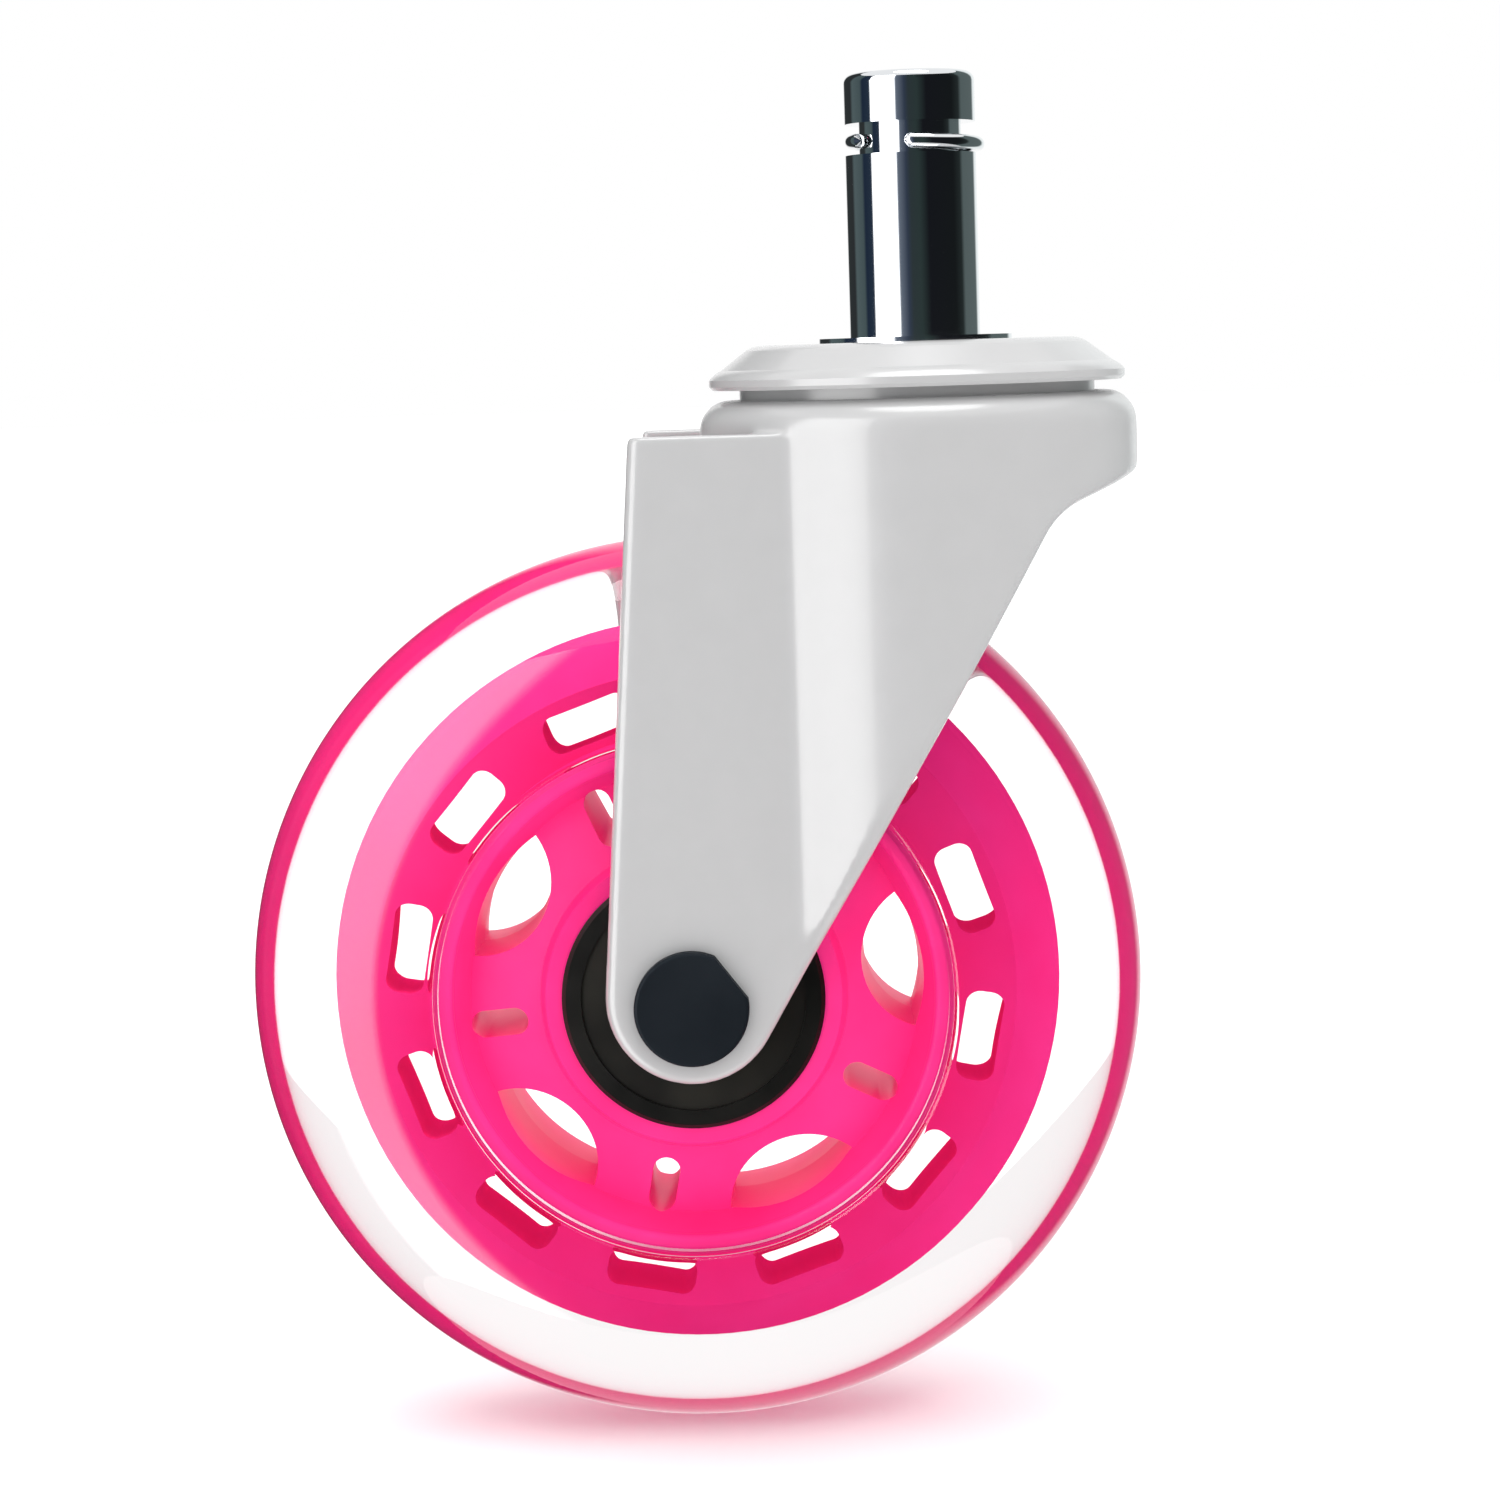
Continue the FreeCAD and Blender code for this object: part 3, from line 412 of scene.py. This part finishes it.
def room_material():
    """A glow for each angle of ROOM, about the object's own upright axis."""
    material = bpy.data.materials.new("drum")
    material.use_nodes = True
    nodes, links = material.node_tree.nodes, material.node_tree.links
    nodes.clear()
    where = nodes.new("ShaderNodeTexCoord")
    split = nodes.new("ShaderNodeSeparateXYZ")
    links.new(where.outputs["Object"], split.inputs["Vector"])
    minus_y = nodes.new("ShaderNodeMath")
    minus_y.operation = "MULTIPLY"
    minus_y.inputs[1].default_value = -1.0
    links.new(split.outputs["Y"], minus_y.inputs[0])
    around = nodes.new("ShaderNodeMath")
    around.operation = "ARCTAN2"
    links.new(split.outputs["X"], around.inputs[0])
    links.new(minus_y.outputs["Value"], around.inputs[1])
    share = nodes.new("ShaderNodeMapRange")
    share.inputs["From Min"].default_value = -math.pi
    share.inputs["From Max"].default_value = math.pi
    links.new(around.outputs["Value"], share.inputs["Value"])
    ramp_node = nodes.new("ShaderNodeValToRGB")
    ramp = ramp_node.color_ramp
    for number, (angle, glow) in enumerate(ROOM):
        place = (angle + 180) / 360
        if number == 0:
            stop = ramp.elements[0]
        elif number == len(ROOM) - 1:
            stop = ramp.elements[-1]
        else:
            stop = ramp.elements.new(place)
        stop.position = place
        stop.color = (*[part / SOFT_BOX for part in glow], 1)
    links.new(share.outputs["Result"], ramp_node.inputs["Fac"])
    light = nodes.new("ShaderNodeEmission")
    light.inputs["Strength"].default_value = SOFT_BOX
    links.new(ramp_node.outputs["Color"], light.inputs["Color"])
    output = nodes.new("ShaderNodeOutputMaterial")
    links.new(light.outputs["Emission"], output.inputs["Surface"])
    return material


def make_drum():
    """A drum round the object that only reflections see, with a glow for each angle of ROOM.

    It reaches below the floor, which reflections don't see, so the stem has dark and light
    stripes from above too.
    """
    radius, low, high, steps = 0.6, -0.75, 0.55, 128
    builder = bmesh.new()
    columns = []
    for step in range(steps):
        angle = 2 * math.pi * step / steps
        x, y = radius * math.sin(angle), -radius * math.cos(angle)
        columns.append([builder.verts.new((x, y, low)), builder.verts.new((x, y, high))])
    for step in range(steps):
        here, there = columns[step], columns[(step + 1) % steps]
        builder.faces.new((here[0], there[0], there[1], here[1]))
    drum = finish_mesh("drum", builder, room_material())
    drum.visible_camera = False
    drum.visible_diffuse = False
    drum.visible_transmission = False
    drum.visible_shadow = False


def make_lights():
    """An even white surround and a broad light from almost straight above."""
    world = bpy.data.worlds.new("studio")
    world.use_nodes = True
    background = world.node_tree.nodes["Background"]
    background.inputs["Color"].default_value = (1, 1, 1, 1)
    background.inputs["Strength"].default_value = WORLD_STRENGTH
    SCENE.world = world
    data = bpy.data.lights.new("overhead", "SUN")
    data.energy, data.angle = SUN_STRENGTH, SUN_WIDTH
    overhead = bpy.data.objects.new("overhead", data)
    overhead.rotation_euler = SUN_TRAVELS.to_track_quat("-Z", "Y").to_euler()
    SCENE.collection.objects.link(overhead)


def make_camera():
    """A camera in front, between axle and stem, level with the disc, looking a little down."""
    distance, height, aim_x = 320 * MM, -0.88 * MM, -15.06 * MM
    sensor, lens, nearest = 36.0, 90.24, 0.01
    yaw, pitch, roll = math.radians(1.138), math.radians(6.04), math.radians(1.798)
    level = Vector((-math.sin(yaw), math.cos(yaw), 0))
    right = Vector((math.cos(yaw), math.sin(yaw), 0))
    forward = level * math.cos(pitch) - Vector((0, 0, 1)) * math.sin(pitch)
    up = right.cross(forward)
    leaning_right = right * math.cos(roll) - up * math.sin(roll)
    leaning_up = right * math.sin(roll) + up * math.cos(roll)
    data = bpy.data.cameras.new("camera")
    data.sensor_width, data.lens, data.clip_start = sensor, lens, nearest
    camera = bpy.data.objects.new("camera", data)
    turn = Matrix((leaning_right, leaning_up, -forward)).transposed()
    camera.matrix_world = Matrix.Translation(Vector((aim_x, 0, height)) - level * distance) \
        @ turn.to_4x4()
    SCENE.collection.objects.link(camera)
    SCENE.camera = camera


# ---------------------------------------------------------------- scene

MATERIALS = make_materials()
for subpart in frame["record"]["subparts"]:
    node = frame["nodes"][subpart["node"]]
    node.data.materials.clear()
    node.data.materials.append(MATERIALS[subpart["material_slot"]])

# The rim's faces inside the tyre carry the same painted glow.
bonded_pink = surface("bonded_pink", PINK_DARK, PINK_LIGHT, (0.5, 0.6), specular=0.0,
                      glow=PINK_GLOW)
wet_the_rim(frame["nodes"]["hub"].data, bonded_pink)

make_camera()
make_tyre(MATERIALS["clear_tyre"])
make_grip_ring(MATERIALS["chrome"])
soften("fork", "fork_shell", "fork", "white_paint", voxel=0.28 * MM, rounds=14)
make_floor()
make_drum()
make_lights()
SCENE.view_settings.view_transform = "Standard"
